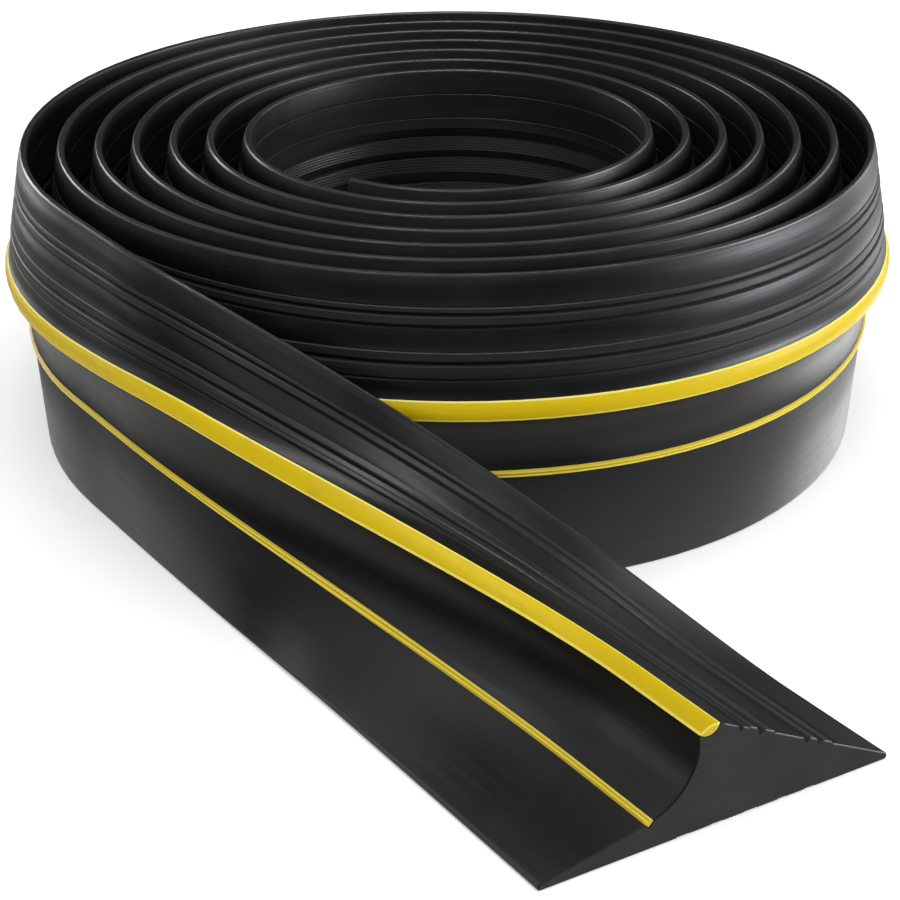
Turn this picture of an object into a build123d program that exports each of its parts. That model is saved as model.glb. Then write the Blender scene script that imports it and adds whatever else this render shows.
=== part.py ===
# Coiled garage door threshold seal: a long wedge-shaped rubber strip, wound seven times into
# an upright roll that stands on its toe edge, with the free end led off the roll, twisted down
# and lying flat on the floor.
#
# Three pieces run the whole length of the strip:
#   rubber_strip   the black wedge: thin toe flange, hollowed front face, crest, long grooved
#                  ramp down to the thin heel edge, and glue channels along the underside
#   crest_bead     the wide yellow bead let into the crest, nearly flush, round on its hidden side
#   foot_stripe    the narrow yellow bead at the foot of the front face
#
# A cross-section is drawn with x across the strip, from the toe edge, and y up from the
# underside. The strip is pressed low in the roll and stands up to its full height at the
# free end, where the glue channels are shallow. Millimetres, +Z up, origin on the floor at the
# middle of the footprint.

from collections import namedtuple
from math import atan2, cos, radians, sin
import os

from build123d import *

os.makedirs("parts", exist_ok=True)

# --- roll -------------------------------------------------------------------------------
ROLL_CENTRE = (3.55, 73.6)    # axis of the middle lap
FIRST_RADIUS = 79.4           # underside of the strip, innermost lap, at the right
LAP_PITCH = 15.5              # radius gained per lap
LAP_DRIFT = 1.3               # how far each lap's centre moves to the back
FULL_LAPS = 6                 # laps after the innermost one
START_ANGLE = -125.0          # the inner free end, degrees
LEAVE_ANGLE = 216.0           # where the strip leaves the outer lap, degrees

# --- led-off end, distances along the toe edge from the roll -----------------------------
TAIL_LENGTH = 292.0
TWIST_START = 42.0            # standing upright up to here
TWIST_END = 262.0             # flat on the floor, and open to its full height, from here
HEEL_BOW = 6.0                # how far the heel edge bows out on its way down
CREST_LIFT = 6.0              # how far the crest springs up as it comes off the roll
LIFT_END = 96.0               # and where it has done so
SLIDE_START = 185.0           # from here the grooves draw closer to the crest
END_SLANT = 6.0               # the end is cut this many degrees off square
STATIONS = 26                 # cross-sections from the roll to the flat stretch

# --- cross-section, pressed in the roll and free at the end -------------------------------
ROLLED_WIDTH = 126.0
FREE_WIDTH = 133.5
EDGE = 1.4                    # radius of the rounded toe and heel edges
BEAD_RISE = 1.3               # crown of the crest bead above the line between its edges
BEAD_DEPTH = 2.5              # and its hidden side below that line
FOOT_HALF = 1.5               # half the width of the foot stripe
FOOT_DEPTH = 1.6              # the stripe's root below the surface
FOOT_RISE = 1.1               # and its crown above it
CHANNELS = ((0.375, 0.415), (0.47, 0.51), (0.567, 0.61), (0.665, 0.695), (0.745, 0.78))
ROLLED_GROOVES = (0.295, 0.395, 0.695, 0.83)  # shares of the ramp, from the heel
FREE_GROOVES = (0.41, 0.49, 0.765, 0.88)
GROOVE_HALF = 0.7
GROOVE_DEPTH = 0.8

Section = namedtuple(
    "Section", "width foot_x foot_y crest_x crest_y hollow bead_half bead_tilt channel slide"
)
ROLLED = Section(ROLLED_WIDTH, 48.5, 5.0, 77.6, 12.0, 2.8, 3.9, -6.0, 1.2, 0.0)
FREE = Section(FREE_WIDTH, 39.3, 10.5, 60.0, 37.8, 5.4, 3.9, 16.0, 0.3, 1.0)


def ease(distance, start, end):
    """0 before start, 1 after end, and a smooth change between them."""
    share = min(1.0, max(0.0, (distance - start) / (end - start)))
    return share * share * (3.0 - 2.0 * share)


def mix(low, high, share):
    return low + (high - low) * share


def on_the_way(upright, flat, share, bow=0.0):
    """A line of the strip on its way down from its upright place to its flat one.

    Places are (inward from the toe edge, height above the floor).
    """
    run = flat[0] - upright[0]
    drop = flat[1] - upright[1]
    out = 4.0 * bow * share * (1.0 - share) / (run * run + drop * drop) ** 0.5
    inward = upright[0] + share * run - out * drop
    height = upright[1] + share * drop + out * run
    return inward, height


def heel_at(share):
    return on_the_way((0.0, ROLLED.width), (FREE.width, 0.0), share, HEEL_BOW)


def lean_at(distance):
    """How far the strip stands up from the floor: a quarter turn when upright, 0 when flat."""
    inward, height = heel_at(ease(distance, TWIST_START, TWIST_END))
    return atan2(height, inward)


def section_at(distance):
    """The cross-section at a distance along the led-off end."""
    share = ease(distance, TWIST_START, TWIST_END)
    lean = lean_at(distance)

    def in_section(place):
        """From (inward, height) to the cross-section's own x and y."""
        x = place[0] * cos(lean) + place[1] * sin(lean)
        y = place[1] * cos(lean) - place[0] * sin(lean)
        return x, y

    width, _ = in_section(heel_at(share))
    lift = CREST_LIFT * ease(distance, 0.0, LIFT_END)
    upright_crest = (-ROLLED.crest_y, ROLLED.crest_x + lift)
    upright_foot = (-ROLLED.foot_y, ROLLED.foot_x)
    flat_crest = (FREE.crest_x, FREE.crest_y)
    flat_foot = (FREE.foot_x, FREE.foot_y)
    crest = in_section(on_the_way(upright_crest, flat_crest, share))
    foot = in_section(on_the_way(upright_foot, flat_foot, share))
    rest = [mix(low, high, share) for low, high in zip(ROLLED[5:9], FREE[5:9])]
    slide = ease(distance, SLIDE_START, TWIST_END)
    return Section(width, *foot, *crest, *rest, slide)


def bead_points(section):
    """Front, root, back and crown of the crest bead."""
    c, s = cos(radians(section.bead_tilt)), sin(radians(section.bead_tilt))
    along = (section.bead_half * c, section.bead_half * s)
    front = (section.crest_x - along[0], section.crest_y - along[1])
    back = (section.crest_x + along[0], section.crest_y + along[1])
    root = (section.crest_x + BEAD_DEPTH * s, section.crest_y - BEAD_DEPTH * c)
    crown = (section.crest_x - BEAD_RISE * s, section.crest_y + BEAD_RISE * c)
    return front, root, back, crown


def foot_points(section):
    """Front, root, back and crown of the foot stripe."""
    front = (section.foot_x - FOOT_HALF, section.foot_y - 0.2)
    root = (section.foot_x, section.foot_y - FOOT_DEPTH)
    back = (section.foot_x + FOOT_HALF, section.foot_y + 0.3)
    crown = (section.foot_x, section.foot_y + FOOT_RISE)
    return front, root, back, crown


def between(first, second, share, lift=0.0):
    """A point on the line from first to second, lifted square to that line."""
    dx = second[0] - first[0]
    dy = second[1] - first[1]
    length = (dx * dx + dy * dy) ** 0.5
    x = first[0] + share * dx + lift * dy / length
    y = first[1] + share * dy - lift * dx / length
    return (x, y)


def underside(section):
    """From the toe to the heel, with the glue channels."""
    points = [(EDGE, 0.0)]
    for start, end in CHANNELS:
        points.append((start * section.width, 0.0))
        points.append((start * section.width, section.channel))
        points.append((end * section.width, section.channel))
        points.append((end * section.width, 0.0))
    points.append((section.width - EDGE, 0.0))
    return points


def ramp(section):
    """From the heel up to the crest bead, with its grooves."""
    heel = (section.width - EDGE, 2.0 * EDGE)
    _, _, crest, _ = bead_points(section)
    run = ((crest[0] - heel[0]) ** 2 + (crest[1] - heel[1]) ** 2) ** 0.5
    half = GROOVE_HALF / run
    points = [heel]
    for rolled, free in zip(ROLLED_GROOVES, FREE_GROOVES):
        middle = mix(rolled, free, section.slide)
        points.append(between(heel, crest, middle - half))
        points.append(between(heel, crest, middle, -GROOVE_DEPTH))
        points.append(between(heel, crest, middle + half))
    points.append(crest)
    return points


def strip_outline(section):
    width = section.width
    crest_front, crest_root, crest_back, _ = bead_points(section)
    foot_front, foot_root, foot_back, _ = foot_points(section)
    with BuildLine() as outline:
        Polyline(*underside(section))
        ThreePointArc((width - EDGE, 0.0), (width, EDGE), (width - EDGE, 2.0 * EDGE))
        Polyline(*ramp(section))
        ThreePointArc(crest_back, crest_root, crest_front)
        hollow = between(foot_back, crest_front, 0.5, section.hollow)
        ThreePointArc(crest_front, hollow, foot_back)
        Polyline(foot_back, foot_root, foot_front, (EDGE, 2.0 * EDGE))
        ThreePointArc((EDGE, 2.0 * EDGE), (0.0, EDGE), (EDGE, 0.0))
    return outline.line


def bead_outline(section):
    front, root, back, crown = bead_points(section)
    with BuildLine() as outline:
        ThreePointArc(back, root, front)
        ThreePointArc(front, crown, back)
    return outline.line


def stripe_outline(section):
    front, root, back, crown = foot_points(section)
    with BuildLine() as outline:
        Polyline(front, root, back)
        ThreePointArc(back, crown, front)
    return outline.line


def profile(outline, section, plane):
    """The face of one piece's cross-section, standing on a plane."""
    with BuildSketch(plane) as sketch:
        make_face(outline(section).edges())
    return sketch.sketch


def upright_plane(centre_y, radius, angle):
    """Stands at an angle on an arc of the roll: x up, y out, looking along the strip."""
    x = ROLL_CENTRE[0] + radius * cos(radians(angle))
    y = ROLL_CENTRE[1] + centre_y + radius * sin(radians(angle))
    forward = (-sin(radians(angle)), cos(radians(angle)), 0.0)
    return Plane(origin=(x, y, 0.0), x_dir=(0, 0, 1), z_dir=forward)


def roll_arcs():
    """Half-turn arcs, each tangent to the last: centre y, radius, start and end angle."""
    arcs = []
    radius = FIRST_RADIUS - (LAP_PITCH + LAP_DRIFT) / 2.0
    centre_y = LAP_PITCH / 4.0 - 3.0 * LAP_DRIFT - (LAP_PITCH + LAP_DRIFT) / 2.0
    arcs.append((centre_y, radius, START_ANGLE, -90.0))
    for lap in range(FULL_LAPS + 1):
        radius += (LAP_PITCH + LAP_DRIFT) / 2.0
        centre_y += (LAP_PITCH + LAP_DRIFT) / 2.0
        arcs.append((centre_y, radius, -90.0, 90.0))
        radius += (LAP_PITCH - LAP_DRIFT) / 2.0
        centre_y -= (LAP_PITCH - LAP_DRIFT) / 2.0
        last = LEAVE_ANGLE if lap == FULL_LAPS else 270.0
        arcs.append((centre_y, radius, 90.0, last))
    return arcs


ARCS = roll_arcs()
LEAVE_PLANE = upright_plane(ARCS[-1][0], ARCS[-1][1], LEAVE_ANGLE)
ALONG = LEAVE_PLANE.z_dir                  # the way the toe edge runs
INWARD = Vector(-ALONG.Y, ALONG.X, 0.0)    # square to it, the way the strip lies down


def tail_plane(distance):
    """Stands on the toe edge of the led-off end and leans over as the strip twists down."""
    lean = lean_at(distance)
    across = INWARD * cos(lean) + Vector(0, 0, 1) * sin(lean)
    origin = LEAVE_PLANE.origin + ALONG * distance
    return Plane(origin=origin, x_dir=across, z_dir=ALONG)


def end_plane():
    """The cut at the free end."""
    origin = LEAVE_PLANE.origin + ALONG * TAIL_LENGTH
    slant = radians(END_SLANT)
    return Plane(origin=origin, z_dir=ALONG * cos(slant) - INWARD * sin(slant))


def wind_roll(outline):
    """Adds one piece of the rolled strip to the open part, from its inner end outwards."""
    for centre_y, radius, start, end in ARCS:
        plane = upright_plane(centre_y, radius, start)
        axis = Axis((ROLL_CENTRE[0], ROLL_CENTRE[1] + centre_y, 0.0), (0, 0, 1))
        revolve(profile(outline, ROLLED, plane), axis=axis, revolution_arc=end - start)


def lead_off(outline):
    """Adds the twisted stretch and the flat one, and trims the free end."""
    distances = [TWIST_END * station / STATIONS for station in range(STATIONS + 1)]
    stations = [profile(outline, section_at(d), tail_plane(d)) for d in distances]
    loft(sections=stations, ruled=True)
    flat_length = TAIL_LENGTH - TWIST_END
    spare = FREE_WIDTH * sin(radians(END_SLANT)) + 10.0
    extrude(stations[-1], amount=flat_length + spare, dir=ALONG)
    with BuildSketch(end_plane()) as cut:
        Rectangle(4.0 * FREE_WIDTH, 4.0 * FREE_WIDTH)
    extrude(cut.sketch, amount=2.0 * spare, mode=Mode.SUBTRACT)


with BuildPart() as rubber_strip:
    wind_roll(strip_outline)
    lead_off(strip_outline)
rubber_strip.part.label = "rubber_strip"
export_step(rubber_strip.part, "parts/rubber_strip.step")

with BuildPart() as crest_bead:
    wind_roll(bead_outline)
    lead_off(bead_outline)
crest_bead.part.label = "crest_bead"
export_step(crest_bead.part, "parts/crest_bead.step")

with BuildPart() as foot_stripe:
    wind_roll(stripe_outline)
    lead_off(stripe_outline)
foot_stripe.part.label = "foot_stripe"
export_step(foot_stripe.part, "parts/foot_stripe.step")
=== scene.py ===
"""Looks of the coiled garage door threshold seal.

Three pieces are swept along the strip's own path, as their CAD solids are, but with finer
cross-sections: the black rubber strip with its ridged grooves, ribbed glue lands and rounded
lips, the crest bead with its thin rims, and the foot stripe with a line down its middle.
Lengths are millimetres until a mesh is made, and metres after that. Origin on the floor, +Z up.
"""

import math
from collections import namedtuple

import bpy
import numpy as np
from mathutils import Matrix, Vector


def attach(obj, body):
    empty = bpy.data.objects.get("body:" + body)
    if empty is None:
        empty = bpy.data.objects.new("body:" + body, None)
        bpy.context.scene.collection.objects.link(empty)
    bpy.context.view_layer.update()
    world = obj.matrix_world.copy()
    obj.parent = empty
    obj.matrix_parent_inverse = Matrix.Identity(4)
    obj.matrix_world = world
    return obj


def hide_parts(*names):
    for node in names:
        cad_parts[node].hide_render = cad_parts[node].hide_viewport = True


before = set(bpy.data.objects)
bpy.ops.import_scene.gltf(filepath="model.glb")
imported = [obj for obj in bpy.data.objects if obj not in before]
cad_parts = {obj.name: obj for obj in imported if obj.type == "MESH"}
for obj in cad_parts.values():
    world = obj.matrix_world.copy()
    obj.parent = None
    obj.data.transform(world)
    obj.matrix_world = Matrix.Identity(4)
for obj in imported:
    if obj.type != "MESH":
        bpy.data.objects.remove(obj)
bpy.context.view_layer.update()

MM = 0.001

# --- driving dimensions, as in the part ---------------------------------------------------
ROLL_CENTRE = (3.55, 73.6)
FIRST_RADIUS = 79.4
LAP_PITCH = 15.5
LAP_DRIFT = 1.3
FULL_LAPS = 6
START_ANGLE = -125.0
LEAVE_ANGLE = 216.0

TAIL_LENGTH = 292.0
TWIST_START = 42.0
TWIST_END = 262.0
HEEL_BOW = 6.0
CREST_LIFT = 6.0
LIFT_END = 96.0
SLIDE_START = 185.0
END_SLANT = 6.0

ROLLED_WIDTH = 126.0
FREE_WIDTH = 133.5
EDGE = 1.4
BEAD_RISE = 1.3
BEAD_DEPTH = 2.5
FOOT_HALF = 1.5
FOOT_DEPTH = 1.6
FOOT_RISE = 1.1
FOOT_FRONT_DROP = 0.2         # the stripe's front edge lies this much lower than its middle
FOOT_BACK_LIFT = 0.3          # and its back edge this much higher
CHANNELS = ((0.375, 0.415), (0.47, 0.51), (0.567, 0.61), (0.665, 0.695), (0.745, 0.78))
ROLLED_GROOVES = (0.295, 0.395, 0.695, 0.83)
FREE_GROOVES = (0.41, 0.49, 0.765, 0.88)

Section = namedtuple(
    "Section", "width foot_x foot_y crest_x crest_y hollow bead_half bead_tilt channel slide"
)
ROLLED = Section(ROLLED_WIDTH, 48.5, 5.0, 77.6, 12.0, 2.8, 3.9, -6.0, 1.2, 0.0)
FREE = Section(FREE_WIDTH, 39.3, 10.5, 60.0, 37.8, 5.4, 3.9, 16.0, 0.3, 1.0)

# --- finer detail that only the looks have ------------------------------------------------
CREASES = (0.82, 0.91)        # fine lines along the underside, shares of the width
CREASE_HALF = 0.45
CREASE_DEPTH = 0.4
CHANNEL_FLARE = 0.25          # how far the walls of a glue channel lean
RIBS_PER_LAND = 5             # fine ribs on the glue lands between the channels
RIB_DEPTH = 0.28
LIP_STEPS = 10                # facets round a lip
CROWN_STEPS = 16              # across the crest bead's face
SEAT_STEPS = 8                # round the bead's hidden side
COVE_STEPS = 14               # across the hollow front face
RIM_HEIGHT = 0.22             # thin rims along both edges of the crest bead
FREE_RUN = 80.0               # length of the free ramp, which the grooves are drawn for
ROLLED_RIDGE_LIGHTENING = 0.7             # ridges are painted less light in the roll than on the free end: less worn, weaker painted highlight
# heights across the foot stripe: a soft ridge on each side of the line down its middle
STRIPE_TOP = 1.2
STRIPE_LINE = 0.44
RIDGE = (0.62, 1.06, STRIPE_TOP, 1.06, 0.62)
STRIPE_HEIGHTS = (*RIDGE, STRIPE_LINE, *RIDGE)
# the ramp from the heel to the bead: share of the ramp, lift in the roll, lift at the free end,
# wear and painted highlight (ridges painted lighter), recess shade (painted shade in grooves);
# shares are those in the roll
RAMP_LINE = (
    (0.060, 0.42, 0.05, 0.0, 0.0), (0.120, 0.58, 0.05, 0.0, 0.0), (0.180, 0.46, 0.05, 0.0, 0.0),
    (0.228, 0.05, 0.0, 0.0, 0.0), (0.234, -0.12, -0.15, 0.0, 0.9), (0.244, 0.40, 0.50, 0.55, 0.0),
    (0.272, 0.44, 0.50, 0.55, 0.0), (0.281, 0.05, 0.05, 0.1, 0.8), (0.295, -0.95, -1.1, 0.0, 1.0),
    (0.309, 0.05, 0.05, 0.1, 0.8), (0.320, 0.44, 0.50, 0.55, 0.0), (0.370, 0.50, 0.55, 0.55, 0.0),
    (0.380, 0.05, 0.05, 0.1, 0.8), (0.395, -0.95, -1.1, 0.0, 1.0), (0.411, 0.0, 0.0, 0.0, 0.6),
    (0.420, 0.05, 0.0, 0.0, 0.0), (0.455, 0.28, 0.03, 0.0, 0.0), (0.505, 0.40, 0.03, 0.0, 0.0),
    (0.555, 0.26, 0.03, 0.0, 0.0), (0.594, 0.0, 0.0, 0.0, 0.0), (0.601, -0.12, -0.15, 0.0, 0.9),
    (0.611, 0.42, 0.50, 0.55, 0.0), (0.640, 0.44, 0.52, 0.55, 0.0), (0.666, 0.40, 0.50, 0.55, 0.0),
    (0.679, 0.05, 0.05, 0.1, 0.8), (0.695, -1.10, -1.25, 0.0, 1.0), (0.712, 0.05, 0.05, 0.1, 0.8),
    (0.724, 0.40, 0.50, 0.55, 0.0), (0.766, 0.34, 0.50, 0.55, 0.0), (0.778, 0.00, 0.10, 0.3, 0.2),
    (0.808, -0.10, 0.10, 0.3, 0.1), (0.816, -0.14, 0.0, 0.0, 0.8), (0.830, -0.85, -1.1, 0.0, 1.0),
    (0.846, -0.35, 0.0, 0.0, 0.5), (0.885, -0.60, -0.05, 0.0, 0.0), (0.920, -0.66, -0.08, 0.0, 0.0),
    (0.955, -0.50, -0.05, 0.0, 0.0), (0.980, -0.26, 0.0, 0.0, 0.0),
)
SHARP_ANGLE = 16.0
ARC_SAG = 0.09                # how far a flat facet may cut inside an arc of the roll
TAIL_STEP = 4.0
CUT_CHAMFER = 0.45            # the knife's rounded edge at both cut ends
STRIPE_CHAMFER = 0.15
SEAM_WIDTH = 0.001            # width in metres of the faces that close the outline, on the UV map


def ease(distance, start, end):
    """0 before start, 1 after end, and a smooth change between them."""
    share = min(1.0, max(0.0, (distance - start) / (end - start)))
    return share * share * (3.0 - 2.0 * share)


def mix(low, high, share):
    return low + (high - low) * share


def on_the_way(upright, flat, share, bow=0.0):
    """A line of the strip on its way down from its upright place to its flat one.

    Places are (inward from the toe edge, height above the floor).
    """
    run = flat[0] - upright[0]
    drop = flat[1] - upright[1]
    out = 4.0 * bow * share * (1.0 - share) / math.hypot(run, drop)
    inward = upright[0] + share * run - out * drop
    height = upright[1] + share * drop + out * run
    return inward, height


def heel_at(share):
    return on_the_way((0.0, ROLLED.width), (FREE.width, 0.0), share, HEEL_BOW)


def lean_at(distance):
    """How far the strip stands up from the floor: a quarter turn when upright, 0 when flat."""
    inward, height = heel_at(ease(distance, TWIST_START, TWIST_END))
    return math.atan2(height, inward)


def section_at(distance):
    """The cross-section at a distance along the led-off end."""
    share = ease(distance, TWIST_START, TWIST_END)
    lean = lean_at(distance)

    def in_section(place):
        """From (inward, height) to the cross-section's own x and y."""
        x = place[0] * math.cos(lean) + place[1] * math.sin(lean)
        y = place[1] * math.cos(lean) - place[0] * math.sin(lean)
        return x, y

    width, _ = in_section(heel_at(share))
    lift = CREST_LIFT * ease(distance, 0.0, LIFT_END)
    upright_crest = (-ROLLED.crest_y, ROLLED.crest_x + lift)
    upright_foot = (-ROLLED.foot_y, ROLLED.foot_x)
    flat_crest = (FREE.crest_x, FREE.crest_y)
    flat_foot = (FREE.foot_x, FREE.foot_y)
    crest = in_section(on_the_way(upright_crest, flat_crest, share))
    foot = in_section(on_the_way(upright_foot, flat_foot, share))
    rest = [mix(low, high, share) for low, high in zip(ROLLED[5:9], FREE[5:9])]
    slide = ease(distance, SLIDE_START, TWIST_END)
    return Section(width, *foot, *crest, *rest, slide)


# --- cross-sections: rows of (x, y, wear and highlight, recess shade, bevel) ---------------
# the wear-and-highlight value is 1 on lips, ridges and rims, painted lighter: on the rubber partly
# worn and partly a painted highlight, on the yellow a painted highlight; the recess-shade value is
# 1 down in grooves and channels, where shade is painted; bevel is how much of the chamfer a point
# gets at a cut end


def bead_points(section):
    """Front, root, back and crown of the crest bead."""
    tilt = math.radians(section.bead_tilt)
    c, s = math.cos(tilt), math.sin(tilt)
    along = (section.bead_half * c, section.bead_half * s)
    front = (section.crest_x - along[0], section.crest_y - along[1])
    back = (section.crest_x + along[0], section.crest_y + along[1])
    root = (section.crest_x + BEAD_DEPTH * s, section.crest_y - BEAD_DEPTH * c)
    crown = (section.crest_x - BEAD_RISE * s, section.crest_y + BEAD_RISE * c)
    return front, root, back, crown


def foot_points(section):
    """Front, root and back of the foot stripe."""
    front = (section.foot_x - FOOT_HALF, section.foot_y - FOOT_FRONT_DROP)
    root = (section.foot_x, section.foot_y - FOOT_DEPTH)
    back = (section.foot_x + FOOT_HALF, section.foot_y + FOOT_BACK_LIFT)
    return front, root, back


def between(first, second, share, lift=0.0):
    """A point on the line from first to second, lifted square to that line."""
    dx = second[0] - first[0]
    dy = second[1] - first[1]
    length = math.hypot(dx, dy)
    x = first[0] + share * dx + lift * dy / length
    y = first[1] + share * dy - lift * dx / length
    return (x, y)


def arc_through(first, middle, last, steps):
    """Points on the circle through three points, both ends left out."""
    (ax, ay), (bx, by), (cx, cy) = first, middle, last
    d = 2.0 * (ax * (by - cy) + bx * (cy - ay) + cx * (ay - by))
    a2, b2, c2 = ax * ax + ay * ay, bx * bx + by * by, cx * cx + cy * cy
    ux = (a2 * (by - cy) + b2 * (cy - ay) + c2 * (ay - by)) / d
    uy = (a2 * (cx - bx) + b2 * (ax - cx) + c2 * (bx - ax)) / d
    radius = math.hypot(ax - ux, ay - uy)
    start = math.atan2(ay - uy, ax - ux)
    sweep = math.atan2(cy - uy, cx - ux) - start
    sweep = (sweep + math.pi) % (2.0 * math.pi) - math.pi
    angles = [start + sweep * i / steps for i in range(1, steps)]
    return [(ux + radius * math.cos(a), uy + radius * math.sin(a)) for a in angles]


def lip(x, sign):
    """A rounded edge from its lower to its upper tangent point; sign is 1 at the heel."""
    points = []
    for i in range(LIP_STEPS + 1):
        angle = math.pi * (i / LIP_STEPS - 0.5)
        px = x + sign * EDGE * math.cos(angle)
        py = EDGE + EDGE * math.sin(angle)
        # the lip is painted lighter towards its top: partly worn, partly a painted highlight
        wear_and_highlight = 0.35 + 0.65 * math.sin(math.pi * i / LIP_STEPS)
        points.append((px, py, wear_and_highlight, 0.0))
    return points if sign > 0 else points[::-1]


def underside(section):
    """From the toe to the heel: glue channels, ribbed lands and two creases."""
    width = section.width
    points = []
    # channel floors, rib valleys and creases get painted shade; the edges between them are painted
    # a little lighter, partly worn and partly a painted highlight
    for number, (start, end) in enumerate(CHANNELS):
        left, right = start * width, end * width
        points.append((left, 0.0, 0.5, 0.0))
        points.append((left + CHANNEL_FLARE, section.channel, 0.0, 1.0))
        points.append((right - CHANNEL_FLARE, section.channel, 0.0, 1.0))
        points.append((right, 0.0, 0.5, 0.0))
        if number + 1 < len(CHANNELS):
            far = CHANNELS[number + 1][0] * width
            pitch = (far - right) / RIBS_PER_LAND
            for rib in range(RIBS_PER_LAND):
                points.append((right + pitch * (rib + 0.5), RIB_DEPTH, 0.0, 0.35))
                if rib + 1 < RIBS_PER_LAND:
                    points.append((right + pitch * (rib + 1.0), 0.0, 0.25, 0.0))
    for share in CREASES:
        middle = share * width
        points.append((middle - CREASE_HALF, 0.0, 0.2, 0.0))
        points.append((middle, CREASE_DEPTH, 0.0, 0.8))
        points.append((middle + CREASE_HALF, 0.0, 0.2, 0.0))
    return points


def ramp(section):
    """From the heel up to the bead: crowned lands, fine ridges and grooves, and a flare."""
    heel = (section.width - EDGE, 2.0 * EDGE)
    _, _, crest, _ = bead_points(section)
    run = math.hypot(crest[0] - heel[0], crest[1] - heel[1])
    size = math.sqrt(run / FREE_RUN)
    grooves = [mix(r, f, section.slide) for r, f in zip(ROLLED_GROOVES, FREE_GROOVES)]
    marks = [0.0, *grooves, 1.0]
    rolled_marks = [0.0, *ROLLED_GROOVES, 1.0]
    opening = (section.hollow - ROLLED.hollow) / (FREE.hollow - ROLLED.hollow)
    # ridges are painted lighter, partly worn and partly a painted highlight, less so in the roll
    rubbed_and_lit = mix(ROLLED_RIDGE_LIGHTENING, 1.0, section.slide)
    points = []
    for rolled_share, rolled_lift, free_lift, wear_and_highlight, recess_shade in RAMP_LINE:
        share = float(np.interp(rolled_share, rolled_marks, marks))
        lift = mix(rolled_lift, free_lift, opening)
        x, y = between(heel, crest, share, lift * size)
        points.append((x, y, wear_and_highlight * rubbed_and_lit, recess_shade))
    return points


def strip_outline(section):
    """The rubber's cross-section, anticlockwise from the toe's underside."""
    heel_x = section.width - EDGE
    front, root, back, _ = bead_points(section)
    foot_front, foot_root, foot_back = foot_points(section)
    points = underside(section)
    points += lip(heel_x, 1)
    points += ramp(section)
    # the hidden bead seat and the foot stripe's groove get painted shade
    seat_start = len(points)
    points.append((*back, 0.0, 0.6))
    points += [(x, y, 0.0, 0.6) for x, y in arc_through(back, root, front, SEAT_STEPS)]
    points.append((*front, 0.0, 0.6))
    seat_end = len(points)
    hollow = between(foot_back, front, 0.5, section.hollow)
    cove = arc_through(front, hollow, foot_back, COVE_STEPS)
    points += [(x, y, 0.0, 0.0) for x, y in cove]
    points.append((*foot_back, 0.0, 0.4))
    points.append((*foot_root, 0.0, 1.0))
    points.append((*foot_front, 0.0, 0.4))
    toe = (EDGE, 2.0 * EDGE)
    points.append((*between(foot_front, toe, 0.5), 0.0, 0.0))
    points += lip(EDGE, -1)
    bevel = np.ones(len(points))
    bevel[seat_start - 1:seat_end + 2] = 0.0
    return np.column_stack([points, bevel])


def bead_outline(section):
    """The crest bead: a low crown between two thin rims painted pale as a highlight,
    and its round hidden side.
    """
    front, root, back, crown = bead_points(section)
    thickness = BEAD_RISE + BEAD_DEPTH
    out = ((crown[0] - root[0]) / thickness, (crown[1] - root[1]) / thickness)
    # both rims are raised a little and painted pale: a painted highlight along the bead's edges
    points = [(*back, 1.0, 0.0)]
    face = arc_through(back, crown, front, CROWN_STEPS)
    for i, (x, y) in enumerate(face):
        rim = 1.0 if i in (0, len(face) - 1) else 0.0
        lift = RIM_HEIGHT * rim
        points.append((x + lift * out[0], y + lift * out[1], rim, 0.0))
    points.append((*front, 1.0, 0.0))
    points += [(x, y, 0.0, 1.0) for x, y in arc_through(front, root, back, SEAT_STEPS)]
    return np.column_stack([points, np.ones(len(points))])


def stripe_outline(section):
    """The foot stripe: two soft ridges with a shallow line between them."""
    front, root, back = foot_points(section)
    # the ridges are painted paler by their height, a painted highlight, and the middle line gets
    # painted shade
    points = [(*front, 0.2, 0.0), (*root, 0.0, 1.0), (*back, 0.2, 0.0)]
    for i, rise in enumerate(STRIPE_HEIGHTS):
        share = (i + 1) / (len(STRIPE_HEIGHTS) + 1)
        x, y = between(back, front, share, rise * FOOT_RISE / STRIPE_TOP)
        valley = 1.0 if rise == STRIPE_LINE else 0.0
        points.append((x, y, rise - STRIPE_LINE, valley))
    return np.column_stack([points, np.ones(len(points))])


# --- the path -----------------------------------------------------------------------------


def roll_arcs():
    """Half-turn arcs, each tangent to the last: centre y, radius, start and end angle."""
    right_step = (LAP_PITCH + LAP_DRIFT) / 2.0
    left_step = (LAP_PITCH - LAP_DRIFT) / 2.0
    radius = FIRST_RADIUS - right_step
    centre_y = LAP_PITCH / 4.0 - 3.0 * LAP_DRIFT - right_step
    arcs = [(centre_y, radius, START_ANGLE, -90.0)]
    for lap in range(FULL_LAPS + 1):
        radius += right_step
        centre_y += right_step
        arcs.append((centre_y, radius, -90.0, 90.0))
        radius += left_step
        centre_y -= left_step
        last = LEAVE_ANGLE if lap == FULL_LAPS else 270.0
        arcs.append((centre_y, radius, 90.0, last))
    return arcs


Station = namedtuple("Station", "origin across outward forward section run slant")


def roll_station(centre_y, radius, angle, run):
    c, s = math.cos(math.radians(angle)), math.sin(math.radians(angle))
    origin = np.array([ROLL_CENTRE[0] + radius * c, ROLL_CENTRE[1] + centre_y + radius * s, 0.0])
    up = np.array([0.0, 0.0, 1.0])
    return Station(
        origin, up, np.array([c, s, 0.0]), np.array([-s, c, 0.0]), ROLLED, run, 0.0
    )


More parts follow.
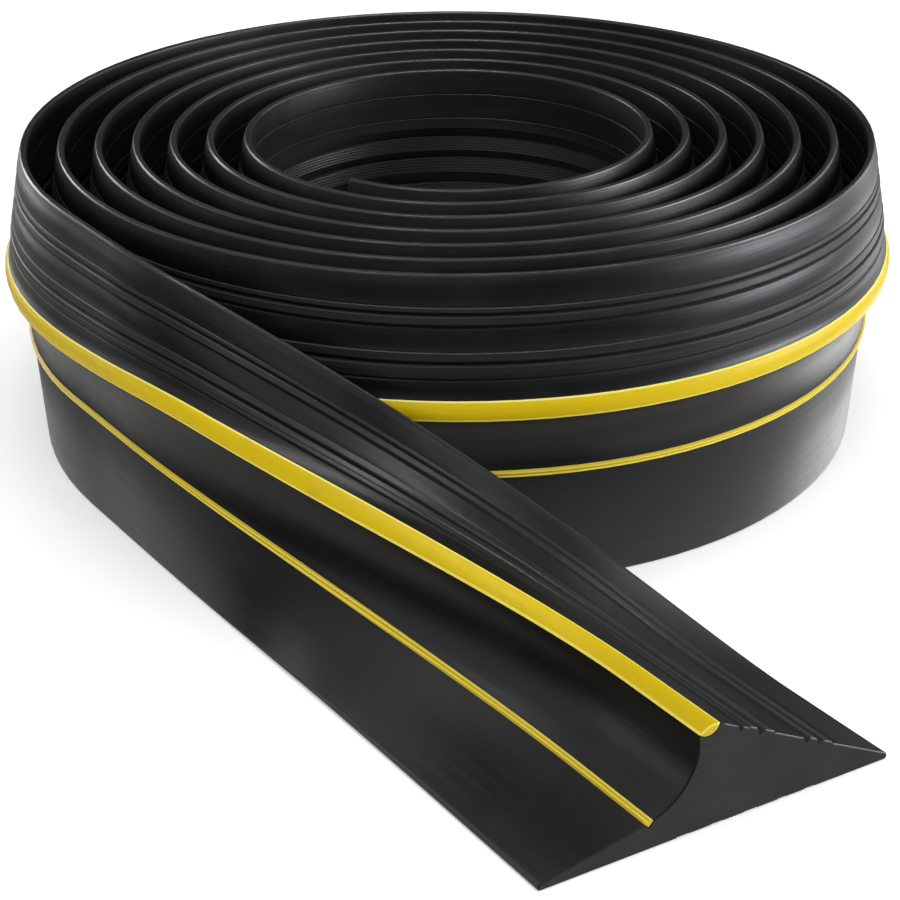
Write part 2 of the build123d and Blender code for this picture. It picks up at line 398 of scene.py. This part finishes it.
def path():
    """Every station from the inner end of the roll to the cut at the free end."""
    stations = []
    run = 0.0
    for centre_y, radius, start, end in roll_arcs():
        step = 2.0 * math.degrees(math.acos(1.0 - ARC_SAG / radius))
        count = max(2, math.ceil((end - start) / step))
        for i in range(count):
            angle = mix(start, end, i / count)
            stations.append(roll_station(centre_y, radius, angle, run))
            run += radius * math.radians((end - start) / count)
    leave = roll_station(centre_y, radius, end, run)
    along = leave.forward
    inward = np.array([-along[1], along[0], 0.0])
    up = np.array([0.0, 0.0, 1.0])
    count = round(TAIL_LENGTH / TAIL_STEP)
    tangent = math.tan(math.radians(END_SLANT))
    for i in range(count + 1):
        distance = TAIL_LENGTH * i / count
        lean = lean_at(distance)
        across = inward * math.cos(lean) + up * math.sin(lean)
        slant = tangent * ease(distance, TWIST_END, TAIL_LENGTH)
        stations.append(
            Station(
                leave.origin + along * distance,
                across,
                np.cross(along, across),
                along,
                section_at(distance),
                run + distance,
                slant,
            )
        )
    return stations


PATH = path()


# --- sweeping a cross-section along the path ------------------------------------------------


def shrunk(outline, amount):
    """The outline moved inwards, for the chamfer at a cut end, except round the bead's seat."""
    p = outline[:, :2]
    ahead = np.roll(p, -1, axis=0) - p
    behind = p - np.roll(p, 1, axis=0)
    ahead /= np.linalg.norm(ahead, axis=1)[:, None]
    behind /= np.linalg.norm(behind, axis=1)[:, None]
    normal = np.stack([-(ahead + behind)[:, 1], (ahead + behind)[:, 0]], axis=1)
    length = np.linalg.norm(normal, axis=1)
    normal = normal / length[:, None]
    mitre = 1.0 / np.clip(length / 2.0, 0.6, 1.0)
    moved = outline.copy()
    moved[:, :2] = p + normal * (amount * mitre * outline[:, 4])[:, None]
    return moved


def place(station, outline, back=0.0):
    """The outline's points in space, in metres; back is how far before the station."""
    x, y = outline[:, 0:1], outline[:, 1:2]
    ahead = station.slant * x - back
    points = station.origin + x * station.across + y * station.outward
    return (points + ahead * station.forward) * MM


def swept(name, outline_of, chamfer, rim):
    """A closed mesh of one piece, from cut end to cut end, with its attributes and UV map."""
    rows, wear_and_highlight, recess_shade, runs = [], [], [], []

    def bevelled(section):
        """The inner edge of the chamfer, with the rim's own values, which paint the cut edge:
        shade on the strip, a pale highlight on the bead and the stripe.
        """
        outline = shrunk(outline_of(section), chamfer)
        outline[:, 2:4] = rim
        return outline

    def add(station, outline, back=0.0):
        rows.append(place(station, outline, back))
        wear_and_highlight.append(outline[:, 2])
        recess_shade.append(outline[:, 3])
        runs.append(np.full(len(outline), (station.run - back) * MM))

    first, last = PATH[0], PATH[-1]
    add(first, bevelled(first.section))
    add(first, outline_of(first.section), -chamfer)
    for station in PATH[1:-1]:
        add(station, outline_of(station.section))
    add(last, outline_of(last.section), chamfer)
    add(last, bevelled(last.section))

    n, m = len(rows), len(rows[0])
    index = np.arange(n * m).reshape(n, m)
    a = index[:-1]
    b = np.roll(index, -1, axis=1)[:-1]
    c = np.roll(index, -1, axis=1)[1:]
    d = index[1:]
    quads = np.stack([a, b, c, d], axis=-1).reshape(-1, 4).tolist()
    caps = [index[0, ::-1].tolist(), index[-1].tolist()]
    mesh = bpy.data.meshes.new(name)
    mesh.from_pydata(np.concatenate(rows).tolist(), [], quads + caps)

    for label, values in (("wear_and_highlight", wear_and_highlight), ("recess_shade", recess_shade)):
        attribute = mesh.attributes.new(label, "FLOAT", "POINT")
        attribute.data.foreach_set("value", np.concatenate(values))

    run = np.concatenate(runs)
    steps = np.linalg.norm(np.diff(outline_of(ROLLED)[:, :2], axis=0), axis=1)
    girth = np.tile(np.concatenate([[0.0], np.cumsum(steps)]) * MM, n)
    corners = np.zeros(len(mesh.loops), dtype=np.int32)
    mesh.loops.foreach_get("vertex_index", corners)
    u, v = run[corners], girth[corners]
    closing = len(quads) * 4
    v_quads = v[:closing].reshape(-1, 4)
    wrap = np.arange(len(quads)) % m == m - 1
    v_quads[wrap, 1] = v_quads[wrap, 0] + SEAM_WIDTH
    v_quads[wrap, 2] = v_quads[wrap, 3] + SEAM_WIDTH
    uv = mesh.uv_layers.new(name="run")
    uv.data.foreach_set("uv", np.stack([u, v], axis=1).astype(np.float32).ravel())

    piece = bpy.data.objects.new(name, mesh)
    bpy.context.scene.collection.objects.link(piece)
    cut = np.zeros(len(mesh.polygons), dtype=np.int32)
    cut[-2:] = 1
    mesh.polygons.foreach_set("material_index", cut)
    mesh.polygons.foreach_set("use_smooth", np.ones(len(mesh.polygons), dtype=bool))
    mesh.set_sharp_from_angle(angle=math.radians(SHARP_ANGLE))
    mesh.update()
    return piece


# --- materials ------------------------------------------------------------------------------


class Nodes:
    """A small helper that builds one material's node tree."""

    def __init__(self, name):
        self.material = bpy.data.materials.new(name)
        self.material.use_nodes = True
        self.tree = self.material.node_tree
        self.shader = self.tree.nodes["Principled BSDF"]

    def new(self, kind, **settings):
        node = self.tree.nodes.new(kind)
        for key, value in settings.items():
            setattr(node, key, value)
        return node

    def link(self, source, target):
        self.tree.links.new(source, target)

    def attribute(self, name):
        return self.new("ShaderNodeAttribute", attribute_name=name).outputs["Fac"]

    def noise(self, scale, stretch=(1.0, 1.0, 1.0), space="Object", detail=3.0, rough=0.5):
        """Noise in metres: over the object, or along the run when space is "run"."""
        if space == "run":
            place_out = self.new("ShaderNodeUVMap", uv_map="run").outputs["UV"]
        else:
            place_out = self.new("ShaderNodeTexCoord").outputs[space]
        mapping = self.new("ShaderNodeMapping")
        mapping.inputs["Scale"].default_value = stretch
        self.link(place_out, mapping.inputs["Vector"])
        noise = self.new("ShaderNodeTexNoise")
        noise.inputs["Scale"].default_value = scale
        noise.inputs["Detail"].default_value = detail
        noise.inputs["Roughness"].default_value = rough
        self.link(mapping.outputs["Vector"], noise.inputs["Vector"])
        return noise.outputs["Fac"]

    def remap(self, value, low, high, out_low=0.0, out_high=1.0):
        node = self.new("ShaderNodeMapRange")
        node.inputs["From Min"].default_value = low
        node.inputs["From Max"].default_value = high
        node.inputs["To Min"].default_value = out_low
        node.inputs["To Max"].default_value = out_high
        self.link(value, node.inputs["Value"])
        return node.outputs["Result"]

    def math(self, operation, first, second):
        node = self.new("ShaderNodeMath", operation=operation)
        for slot, value in zip(node.inputs, (first, second)):
            if isinstance(value, (int, float)):
                slot.default_value = value
            else:
                self.link(value, slot)
        return node.outputs["Value"]

    def blend(self, share, first, second):
        """Colour mix; first and second are colours or sockets."""
        node = self.new("ShaderNodeMix", data_type="RGBA")
        self.link(share, node.inputs["Factor"])
        for slot, value in zip([s for s in node.inputs if s.type == "RGBA"], (first, second)):
            if isinstance(value, tuple):
                slot.default_value = (*value, 1.0)
            else:
                self.link(value, slot)
        return [s for s in node.outputs if s.type == "RGBA"][0]

    def bump(self, height, distance, strength, normal=None):
        node = self.new("ShaderNodeBump")
        node.inputs["Distance"].default_value = distance
        node.inputs["Strength"].default_value = strength
        self.link(height, node.inputs["Height"])
        if normal is not None:
            self.link(normal, node.inputs["Normal"])
        return node.outputs["Normal"]

    def finish(self, colour, roughness, normal):
        self.link(colour, self.shader.inputs["Base Color"])
        self.link(roughness, self.shader.inputs["Roughness"])
        self.link(normal, self.shader.inputs["Normal"])
        return self.material


def black_rubber():
    """Satin extruded rubber: streaks along the run, faint bloom, lips and ridges painted lighter
    (partly worn, partly a painted highlight), and painted shade in the grooves.
    """
    n = Nodes("black_rubber")
    streak = n.noise(1.0, (7.0, 1500.0, 1.0), "run", 2.0)
    drag = n.noise(1.0, (22.0, 380.0, 1.0), "run", 3.0)
    bloom = n.noise(26.0, detail=5.0, rough=0.6)
    grain = n.noise(1900.0, detail=2.0)
    wear_and_highlight = n.attribute("wear_and_highlight")
    recess_shade = n.attribute("recess_shade")

    body = n.blend(n.remap(drag, 0.3, 0.7), (0.0026, 0.0027, 0.0030), (0.0044, 0.0045, 0.0049))
    dusty = n.math("MULTIPLY", n.remap(bloom, 0.5, 0.75), 0.30)
    body = n.blend(dusty, body, (0.016, 0.0163, 0.0170))
    # lips and ridges painted lighter: partly worn, partly a painted highlight
    rubbed_and_lit = n.math("MULTIPLY", wear_and_highlight, n.remap(drag, 0.25, 0.75, 0.45, 0.95))
    body = n.blend(rubbed_and_lit, body, (0.038, 0.0384, 0.0392))
    # painted shade down in grooves, channels and creases
    body = n.blend(recess_shade, body, (0.0006, 0.0006, 0.0007))

    rough = n.remap(streak, 0.3, 0.7, 0.32, 0.39)
    rough = n.math("ADD", rough, n.remap(bloom, 0.35, 0.75, 0.0, 0.07))
    rough = n.math("ADD", rough, n.math("MULTIPLY", recess_shade, 0.40))
    rough = n.math("SUBTRACT", rough, n.remap(wear_and_highlight, 0.6, 1.0, 0.0, 0.14))

    normal = n.bump(grain, 0.00008, 0.35)
    normal = n.bump(streak, 0.00012, 0.30, normal)
    normal = n.bump(drag, 0.0004, 0.12, normal)
    n.shader.inputs["Specular IOR Level"].default_value = 0.42
    return n.finish(body, rough, normal)


def cut_rubber():
    """The knife's cut: matt, a little lighter, with fine parallel drag marks and pores."""
    n = Nodes("cut_rubber")
    marks = n.noise(1.0, (90.0, 90.0, 900.0), detail=3.0)
    pores = n.noise(700.0, detail=2.0)
    cloud = n.noise(45.0, detail=3.0)
    body = n.blend(n.remap(cloud, 0.3, 0.7), (0.026, 0.026, 0.0265), (0.034, 0.034, 0.0345))
    body = n.blend(n.math("MULTIPLY", n.remap(pores, 0.62, 0.72), 0.5), body, (0.012, 0.012, 0.012))
    rough = n.remap(marks, 0.3, 0.7, 0.62, 0.78)
    normal = n.bump(marks, 0.0002, 0.30)
    normal = n.bump(pores, 0.0001, 0.25, normal)
    n.shader.inputs["Specular IOR Level"].default_value = 0.12
    return n.finish(body, rough, normal)


def yellow_plastic(name, middle_line_shade):
    """Co-extruded yellow: streaks along the run, rims and ridges painted paler as a highlight,
    painted shade down the stripe's middle line, faint scuffs and grime.
    """
    n = Nodes(name)
    streak = n.noise(1.0, (9.0, 1300.0, 1.0), "run", 2.0)
    patch = n.noise(1.0, (16.0, 120.0, 1.0), "run", 4.0)
    grime = n.noise(70.0, detail=5.0, rough=0.65)
    grain = n.noise(1500.0, detail=2.0)
    wear_and_highlight = n.attribute("wear_and_highlight")
    recess_shade = n.attribute("recess_shade")

    body = n.blend(n.remap(patch, 0.3, 0.7), (0.600, 0.425, 0.002), (0.680, 0.490, 0.004))
    # rims and stripe ridges painted paler: a painted highlight
    body = n.blend(n.math("MULTIPLY", wear_and_highlight, 0.85), body, (0.900, 0.800, 0.160))
    body = n.blend(n.math("MULTIPLY", n.remap(streak, 0.58, 0.78), 0.35), body, (0.60, 0.42, 0.004))
    body = n.blend(n.math("MULTIPLY", n.remap(grime, 0.60, 0.80), 0.30), body, (0.33, 0.25, 0.02))
    # painted shade down the stripe's middle line
    body = n.blend(n.math("MULTIPLY", recess_shade, middle_line_shade), body, (0.42, 0.30, 0.004))

    rough = n.remap(streak, 0.3, 0.7, 0.34, 0.44)
    rough = n.math("ADD", rough, n.remap(grime, 0.4, 0.8, 0.0, 0.12))
    n.shader.inputs["Specular IOR Level"].default_value = 0.12
    normal = n.bump(grain, 0.00006, 0.30)
    normal = n.bump(streak, 0.00012, 0.30, normal)
    return n.finish(body, rough, normal)


def cut_yellow():
    """The bead's cut end: duller and darker than its skin."""
    n = Nodes("cut_yellow")
    marks = n.noise(1.0, (90.0, 90.0, 900.0), detail=3.0)
    pores = n.noise(800.0, detail=2.0)
    body = n.blend(n.remap(marks, 0.3, 0.7), (0.48, 0.36, 0.006), (0.58, 0.44, 0.010))
    rough = n.remap(pores, 0.3, 0.7, 0.55, 0.72)
    return n.finish(body, rough, n.bump(marks, 0.0002, 0.30))


def floor_paint():
    n = Nodes("floor_paint")
    tone = n.noise(2.0, detail=2.0)
    body = n.blend(n.remap(tone, 0.3, 0.7), (0.90, 0.90, 0.905), (0.92, 0.92, 0.925))
    rough = n.remap(tone, 0.3, 0.7, 0.70, 0.76)
    n.shader.inputs["Specular IOR Level"].default_value = 0.1
    n.shader.inputs["Emission Color"].default_value = (1.0, 1.0, 1.0, 1.0)
    n.shader.inputs["Emission Strength"].default_value = 0.30
    return n.finish(body, rough, n.bump(tone, 0.0001, 0.02))


# --- the scene ------------------------------------------------------------------------------

rubber = black_rubber()
# the stripe gets painted shade down its middle line, the bead gets none
yellow = yellow_plastic("yellow_bead", 0.0)
thin_yellow = yellow_plastic("yellow_stripe", 0.75)
rubber_cut, yellow_cut = cut_rubber(), cut_yellow()

# the rim values paint the chamfer at each cut: painted shade round the strip's cut face, a pale
# painted highlight round the bead's and the stripe's
strip = swept("strip_skin", strip_outline, CUT_CHAMFER, (0.0, 1.0))
bead = swept("bead_skin", bead_outline, CUT_CHAMFER, (1.0, 0.0))
stripe = swept("stripe_skin", stripe_outline, STRIPE_CHAMFER, (0.3, 0.0))

for piece, node, slot, skin, cut in (
    (strip, "rubber_strip", "black_rubber", rubber, rubber_cut),
    (bead, "crest_bead", "yellow_bead", yellow, yellow_cut),
    (stripe, "foot_stripe", "yellow_stripe", thin_yellow, yellow_cut),
):
    piece.data.materials.append(skin)
    piece.data.materials.append(cut)
    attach(piece, "root")
    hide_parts(node)

# floor
FLOOR_SIDE = 3.4
bpy.ops.mesh.primitive_plane_add(size=FLOOR_SIDE, location=(0.0, 0.0, 0.0))
floor = bpy.context.object
floor.name = "floor"
floor.data.materials.append(floor_paint())
floor.visible_glossy = False

# lights
ROLL_MIDDLE = Vector((ROLL_CENTRE[0] * MM, ROLL_CENTRE[1] * MM, 0.06))

WHITE = (1.0, 1.0, 1.0)
BLUISH = (0.93, 0.96, 1.0)
# name, azimuth, elevation, distance, width, height, power, tint, and what it lights: azimuth 0
# is in front and 90 to the right, "fill" gives no reflections, and "gloss" gives only those
SOFTBOXES = (
    ("top_fill", 0, 88, 2.2, 3.0, 3.0, 50.0, WHITE, "fill"),
    ("front_fill", 0, 35, 2.4, 3.0, 1.6, 24.0, WHITE, "fill"),
    ("left_panel", -128, 8, 1.6, 0.5, 0.8, 10.0, WHITE, "both"),
    ("left_front", -92, 12, 1.6, 0.9, 0.6, 3.0, WHITE, "gloss"),
    ("front_left", -34, 34, 1.7, 2.2, 0.9, 4.5, WHITE, "gloss"),
    ("left_top", -98, 52, 1.6, 1.5, 1.0, 2.3, WHITE, "gloss"),
    ("right_panel", 82, 15, 1.5, 0.7, 0.55, 12.0, BLUISH, "both"),
    ("right_gloss", 86, 13, 1.5, 0.8, 0.5, 14.0, BLUISH, "gloss"),
    ("right_back", 128, 8, 1.6, 0.4, 0.8, 4.0, BLUISH, "both"),
    ("overhead_strip", 25, 82, 1.5, 1.5, 0.10, 13.5, WHITE, "gloss"),
)


def softbox(name, azimuth, elevation, distance, width, height, power, tint, lights):
    """A soft panel aimed at the roll."""
    a, e = math.radians(azimuth), math.radians(elevation)
    away = Vector((math.sin(a) * math.cos(e), -math.cos(a) * math.cos(e), math.sin(e)))
    data = bpy.data.lights.new(name, "AREA")
    data.shape = "RECTANGLE"
    data.size, data.size_y = width, height
    data.energy = power
    data.color = tint
    light = bpy.data.objects.new(name, data)
    bpy.context.scene.collection.objects.link(light)
    light.location = ROLL_MIDDLE + away * distance
    light.rotation_euler = away.to_track_quat("Z", "Y").to_euler()
    light.visible_camera = False
    light.visible_glossy = lights != "fill"
    light.visible_diffuse = lights != "gloss"


for row in SOFTBOXES:
    softbox(*row)

# world: white behind the floor, and in reflections dark above and pale below, as a floor is
LOW_RIGHT_BACK = (0.64, 0.62, -0.46)      # the way the right side of the roll mirrors

world = bpy.data.worlds.new("studio")
bpy.context.scene.world = world
world.use_nodes = True
tree = world.node_tree


def world_range(source, start, end, low, high, smooth=True):
    """The source from start to end, as a change from low to high."""
    node = tree.nodes.new("ShaderNodeMapRange")
    node.interpolation_type = "SMOOTHSTEP" if smooth else "LINEAR"
    node.inputs["From Min"].default_value = start
    node.inputs["From Max"].default_value = end
    node.inputs["To Min"].default_value = low
    node.inputs["To Max"].default_value = high
    tree.links.new(source, node.inputs["Value"])
    return node.outputs["Result"]


def world_math(operation, *sources):
    node = tree.nodes.new("ShaderNodeMath")
    node.operation = operation
    for source, target in zip(sources, node.inputs):
        tree.links.new(source, target)
    return node.outputs["Value"]


direction = tree.nodes.new("ShaderNodeTexCoord").outputs["Generated"]
split = tree.nodes.new("ShaderNodeSeparateXYZ")
tree.links.new(direction, split.inputs["Vector"])
toward = tree.nodes.new("ShaderNodeVectorMath")
toward.operation = "DOT_PRODUCT"
toward.inputs[1].default_value = LOW_RIGHT_BACK
tree.links.new(direction, toward.inputs[0])

depth = world_range(split.outputs["Y"], -0.6, 1.0, 0.012, 0.03, smooth=False)
below = world_range(split.outputs["Z"], -0.21, -0.46, 0.0, 1.0)
near = world_range(split.outputs["Z"], -0.80, -0.48, 0.45, 1.0)
side = world_range(split.outputs["X"], -0.6, 0.6, 0.66, 1.08, smooth=False)
glow = world_range(toward.outputs["Value"], 0.93, 1.0, 0.0, 2.2)
floor_shade = world_math("MULTIPLY_ADD", world_math("MULTIPLY", below, near), side, glow)
mirrored = world_math("ADD", depth, floor_shade)

chooser = tree.nodes.new("ShaderNodeMix")
chooser.data_type = "RGBA"
in_mirrors, in_view = [s for s in chooser.inputs if s.type == "RGBA"]
in_view.default_value = (1.0, 1.0, 1.0, 1.0)
ray = tree.nodes.new("ShaderNodeLightPath")
tree.links.new(ray.outputs["Is Camera Ray"], chooser.inputs["Factor"])
tree.links.new(mirrored, in_mirrors)
colour = [s for s in chooser.outputs if s.type == "RGBA"][0]
tree.links.new(colour, tree.nodes["Background"].inputs["Color"])
tree.nodes["Background"].inputs["Strength"].default_value = 1.0

bpy.context.scene.view_settings.view_transform = "Standard"
bpy.context.scene.view_settings.look = "None"

# camera
camera_data = bpy.data.cameras.new("camera")
camera_data.lens = 77.47
camera_data.sensor_width = 36.0
camera_data.clip_start = 0.01
camera = bpy.data.objects.new("camera", camera_data)
bpy.context.scene.collection.objects.link(camera)
camera.location = (0.0086, -0.7169, 0.3828)
camera.rotation_euler = (math.radians(62.4372), 0.0, math.radians(0.5956))
bpy.context.scene.camera = camera
